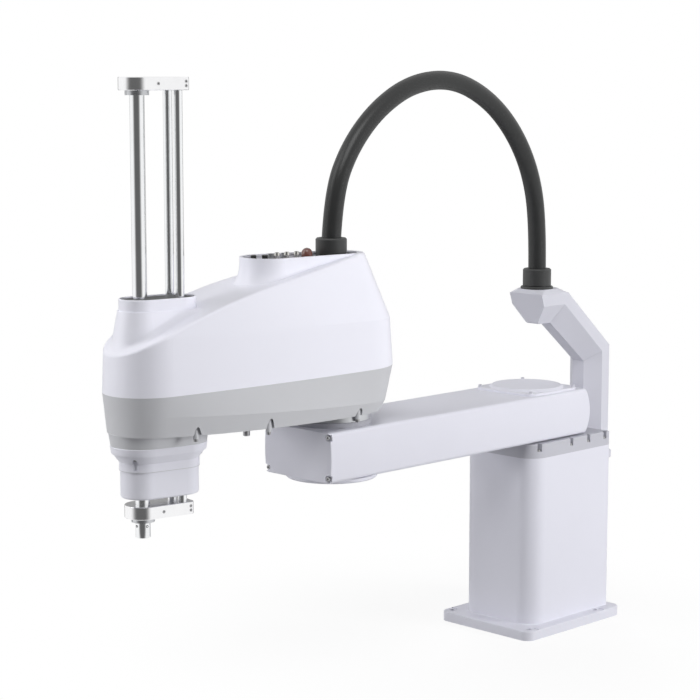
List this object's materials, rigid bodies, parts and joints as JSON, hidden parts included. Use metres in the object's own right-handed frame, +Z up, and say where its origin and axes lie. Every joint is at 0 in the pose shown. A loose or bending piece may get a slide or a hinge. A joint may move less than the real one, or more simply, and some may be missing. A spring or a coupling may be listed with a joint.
{
  "type": "scara robot",
  "caption": "Floor-standing four-axis SCARA robot arm: square pedestal, two horizontal links, vertical tool shaft with two guide rods and a looped cable hose.",
  "frame": {"origin": "first joint's axis at the underside of the base plate", "axes": "+X along the first link at rest, +Y to the robot's left, +Z up"},
  "size_m": [1.5466, 0.3409, 1.4127],
  "materials": {
    "white_enamel": "satin powder coat, cool white",
    "cover_white": "smooth satin moulded cover, cool white",
    "grey_enamel": "light grey paint on cast aluminium",
    "bracket_enamel": "satin powder coat on folded and cast plate",
    "steel": "zinc plated or blackened socket screws",
    "shaft_chrome": "ground and hard-chromed shaft",
    "plate_metal": "machined and polished plate",
    "bare_metal": "machined aluminium",
    "motor_black": "black motor paint",
    "black_plastic": "black nylon",
    "dark_seal": "dark seal plate",
    "black_rubber": "smooth black hose",
    "belt_rubber": "toothed belt",
    "lamp_red": "red-brown tinted lens",
    "brass": "nickel plated brass fittings"
  },
  "bodies": {
    "base": {"base_casting": "white_enamel", "base_crown": "white_enamel", "crown_screws": "steel", "rear_panel": "white_enamel", "rear_panel_screws": "steel", "power_connector": "bare_metal", "signal_connector": "bare_metal", "air_ports": "brass", "data_connectors": "steel", "j1_motor": "motor_black", "j1_reducer": "bare_metal", "cable_bracket": "bracket_enamel", "bracket_screws": "steel", "hose_gland_base": "black_plastic"},
    "arm_1": {"arm_1_beam": "white_enamel", "arm_1_front_cap": "white_enamel", "arm_1_cap_screws": "steel", "j1_top_cover": "white_enamel", "j1_cover_screws": "steel", "j1_output_flange": "bare_metal", "j2_bearing_ring": "bare_metal", "j2_bottom_cover": "white_enamel", "j2_cover_screws": "steel", "umbilical_hose": "black_rubber"},
    "arm_2": {"arm_2_housing": "grey_enamel", "cover_screws": "steel", "arm_2_cover": "cover_white", "shaft_opening_trim": "cover_white", "shaft_seal_plate": "dark_seal", "nose_flange": "cover_white", "nose_screws": "steel", "nose_cover": "cover_white", "connector_plate": "bare_metal", "air_fittings": "brass", "user_connectors": "bare_metal", "signal_lamp": "lamp_red", "hose_gland_arm": "black_plastic", "j2_reducer": "bare_metal", "j2_motor": "motor_black", "z_motor": "motor_black", "r_motor_bridge": "bare_metal", "r_motor": "motor_black", "spline_nut_housing": "bare_metal", "z_nut_carrier": "bare_metal", "rod_bushings": "steel", "z_belt": "belt_rubber", "r_belt": "belt_rubber", "stop_pin": "steel", "under_cap": "grey_enamel"},
    "carriage": {"top_plate": "plate_metal", "bottom_plate": "plate_metal", "plate_screws": "steel", "guide_rods": "shaft_chrome"},
    "tool_shaft": {"tool_shaft": "shaft_chrome", "shaft_collars": "bare_metal"},
    "r_nut": {"r_nut_pulley": "bare_metal"},
    "r_motor_wheel": {"r_motor_pulley": "bare_metal"},
    "z_nut": {"z_nut_pulley": "bare_metal"},
    "z_motor_wheel": {"z_motor_pulley": "bare_metal"},
    "brake_button": {"brake_button": "black_plastic"}
  },
  "joints": [
    {"name": "j1_base_swing", "type": "hinge", "parent": "base", "child": "arm_1", "pos_m": [0, 0, 0.49], "axis": [0, 0, 1], "range_deg": [-132, 132], "deforming": ["umbilical_hose"]},
    {"name": "j2_elbow", "type": "hinge", "parent": "arm_1", "child": "arm_2", "pos_m": [0.7, 0, 0.62], "axis": [0, 0, 1], "range_deg": [-138, 158]},
    {"name": "z_stroke", "type": "slide", "parent": "arm_2", "child": "carriage", "axis": [0, 0, 1], "range_m": [-0.4, 0]},
    {"name": "tool_rotation", "type": "hinge", "parent": "carriage", "child": "tool_shaft", "pos_m": [1.1924, -0.08682, 0.416], "axis": [0, 0, 1], "range_deg": [-360, 360]},
    {"name": "r_nut_turn", "type": "hinge", "parent": "arm_2", "child": "r_nut", "pos_m": [1.1924, -0.08682, 0.675], "axis": [0, 0, 1], "range_deg": [-360.5, 360.5]},
    {"name": "r_motor_turn", "type": "hinge", "parent": "arm_2", "child": "r_motor_wheel", "pos_m": [0.9659, -0.04689, 0.675], "axis": [0, 0, 1], "range_deg": [-601, 601]},
    {"name": "z_nut_turn", "type": "hinge", "parent": "arm_2", "child": "z_nut", "pos_m": [1.1924, -0.08682, 0.79], "axis": [0, 0, 1], "range_deg": [-3601, 1]},
    {"name": "z_motor_turn", "type": "hinge", "parent": "arm_2", "child": "z_motor_wheel", "pos_m": [0.83787, -0.02431, 0.79], "axis": [0, 0, 1], "range_deg": [-7201, 1]},
    {"name": "brake_button_press", "type": "slide", "parent": "arm_2", "child": "brake_button", "axis": [0, 0, -1], "range_m": [0, 0.002], "stiffness_N_per_m": 1500, "springref_m": -0.001}
  ],
  "couplings": [
    {"joint": "r_nut_turn", "follows": "tool_rotation", "ratio": 1},
    {"joint": "r_motor_turn", "follows": "tool_rotation", "ratio": 1.6667},
    {"joint": "z_nut_turn", "follows": "z_stroke", "rad_per_m": 157.08},
    {"joint": "z_motor_turn", "follows": "z_stroke", "rad_per_m": 314.16}
  ]
}
